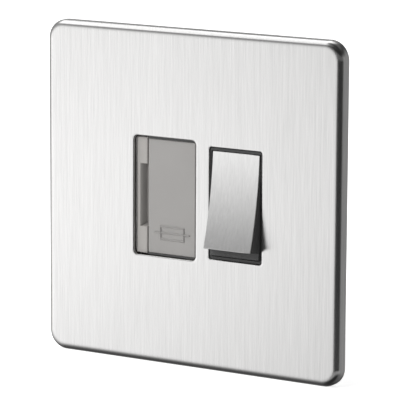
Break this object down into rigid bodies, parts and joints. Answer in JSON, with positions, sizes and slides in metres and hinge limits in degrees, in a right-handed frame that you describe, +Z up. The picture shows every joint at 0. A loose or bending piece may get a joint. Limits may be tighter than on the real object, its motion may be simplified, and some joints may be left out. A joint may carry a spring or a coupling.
{
  "type": "fused spur unit",
  "caption": "Square clip-on steel wall plate with a swing-out fuse carrier and a rocker switch, on a moulded housing with brass terminals.",
  "frame": {"origin": "midway between the fixing holes, on the wall plane that the frame's rear rim rests on", "axes": "+X to the right seen from the front, +Z up, +Y into the wall; the face looks along -Y"},
  "size_m": [0.088, 0.0254, 0.088],
  "materials": {
    "brushed_steel": "vertically brushed stainless steel",
    "frame_moulding": "moulded, satin",
    "grey_moulding": "moulded, fine satin",
    "black_moulding": "moulded, satin",
    "housing_moulding": "moulded, satin",
    "cover_moulding": "moulded, fine texture",
    "plunger_moulding": "moulded acetal",
    "ceramic": "glazed ceramic",
    "nickel_plate": "nickel plated",
    "spring_brass": "rolled phosphor bronze",
    "brass": "stamped brass",
    "terminal_brass": "machined brass",
    "spring_steel": "drawn wire",
    "silver": "silver contact",
    "zinc_screw": "zinc plated steel"
  },
  "bodies": {
    "base": {"face_plate": "brushed_steel", "fixing_frame": "frame_moulding", "fuse_surround": "grey_moulding", "upper_fuse_clip": "spring_brass", "lower_fuse_clip": "spring_brass", "earth_bar": "brass", "front_housing": "housing_moulding", "rear_cover": "cover_moulding", "terminal_screws": "zinc_screw", "live_fixed_tip": "silver", "live_fixed_contact": "brass", "live_contact_bracket": "brass", "neutral_fixed_tip": "silver", "neutral_fixed_contact": "brass", "neutral_contact_bracket": "brass", "live_supply_terminal": "terminal_brass", "neutral_supply_terminal": "terminal_brass", "upper_earth_terminal": "terminal_brass", "live_load_terminal": "terminal_brass", "neutral_load_terminal": "terminal_brass", "lower_earth_terminal": "terminal_brass"},
    "carrier": {"fuse_carrier": "grey_moulding", "fuse_barrel": "ceramic", "fuse_caps": "nickel_plate"},
    "rocker_unit": {"rocker": "black_moulding", "rocker_cap": "brushed_steel", "live_plunger_spring": "spring_steel", "neutral_plunger_spring": "spring_steel"},
    "live_pin": {"live_plunger": "plunger_moulding"},
    "neutral_pin": {"neutral_plunger": "plunger_moulding"},
    "live_seesaw": {"live_moving_contact": "brass", "live_moving_tip": "silver"},
    "neutral_seesaw": {"neutral_moving_contact": "brass", "neutral_moving_tip": "silver"}
  },
  "joints": [
    {"name": "rocker_tilt", "type": "hinge", "parent": "base", "child": "rocker_unit", "pos_m": [0.01345, 0.0016, 0], "axis": [1, 0, 0], "range_deg": [0, 20.6]},
    {"name": "carrier_swing", "type": "hinge", "parent": "base", "child": "carrier", "pos_m": [0, -0.0013, 0], "axis": [0, 0, 1], "range_deg": [0, 65]},
    {"name": "live_contact_tilt", "type": "hinge", "parent": "base", "child": "live_seesaw", "pos_m": [0.01005, 0.01108, 0], "axis": [1, 0, 0], "range_deg": [-16.05, 0]},
    {"name": "live_plunger_slide", "type": "slide", "parent": "rocker_unit", "child": "live_pin", "axis": [0, -0.9839, 0.1788], "range_m": [0, 0.0008], "stiffness_N_per_m": 500, "springref_m": -0.006, "deforming": ["live_plunger_spring"]},
    {"name": "neutral_contact_tilt", "type": "hinge", "parent": "base", "child": "neutral_seesaw", "pos_m": [0.01685, 0.01108, 0], "axis": [1, 0, 0], "range_deg": [-16.05, 0]},
    {"name": "neutral_plunger_slide", "type": "slide", "parent": "rocker_unit", "child": "neutral_pin", "axis": [0, -0.9839, 0.1788], "range_m": [0, 0.0008], "stiffness_N_per_m": 500, "springref_m": -0.006, "deforming": ["neutral_plunger_spring"]}
  ],
  "couplings": [
    {"joint": "live_contact_tilt", "follows": "rocker_tilt", "ratio": -0.7766},
    {"joint": "neutral_contact_tilt", "follows": "rocker_tilt", "ratio": -0.7766}
  ]
}
